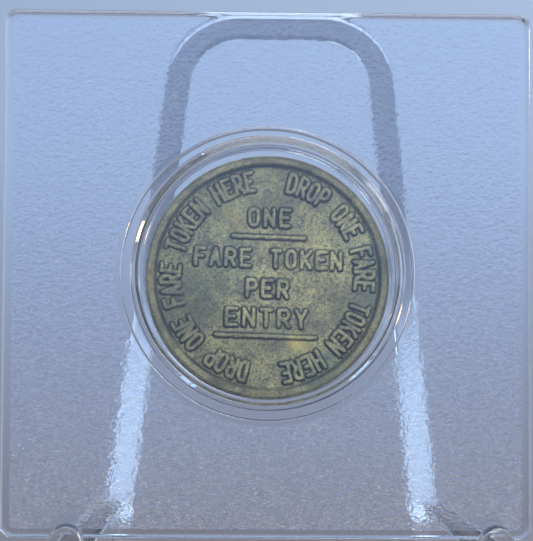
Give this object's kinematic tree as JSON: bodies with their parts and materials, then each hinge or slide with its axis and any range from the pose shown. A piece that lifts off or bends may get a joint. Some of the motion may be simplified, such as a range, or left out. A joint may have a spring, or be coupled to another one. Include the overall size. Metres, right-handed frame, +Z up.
{
  "type": "token in a display case",
  "caption": "Struck brass fare token in a clear square snap case, leaning on a clear arched easel with hooks.",
  "frame": {"origin": "on the ground, under the middle of the object's bounding box", "axes": "+X to the right as seen from the front, +Y to the back, +Z up; the token's face looks along -Y, tilted up by the lean of 12 degrees"},
  "size_m": [0.0508, 0.029, 0.0533],
  "materials": {
    "token_brass": "aged brass with an olive patina and dark hollows",
    "clear_case": "clear moulded polystyrene, pebbled plates and polished windows",
    "clear_easel": "clear moulded polystyrene, polished"
  },
  "bodies": {
    "easel": {"easel": "clear_easel"},
    "case_back": {"back_shell": "clear_case"},
    "case_front": {"front_shell": "clear_case"},
    "token": {"token": "token_brass"}
  },
  "joints": [
    {"name": "case_lift", "type": "slide", "parent": "easel", "child": "case_back", "axis": [0, 0, 1], "range_m": [0, 0.06]},
    {"name": "cover_pull", "type": "slide", "parent": "case_back", "child": "case_front", "axis": [0, -0.9781, 0.2079], "range_m": [0, 0.003]},
    {"name": "token_spin", "type": "hinge", "parent": "case_back", "child": "token", "pos_m": [0, -0.00224, 0.0278], "axis": [0, -0.9781, 0.2079], "continuous": true}
  ]
}
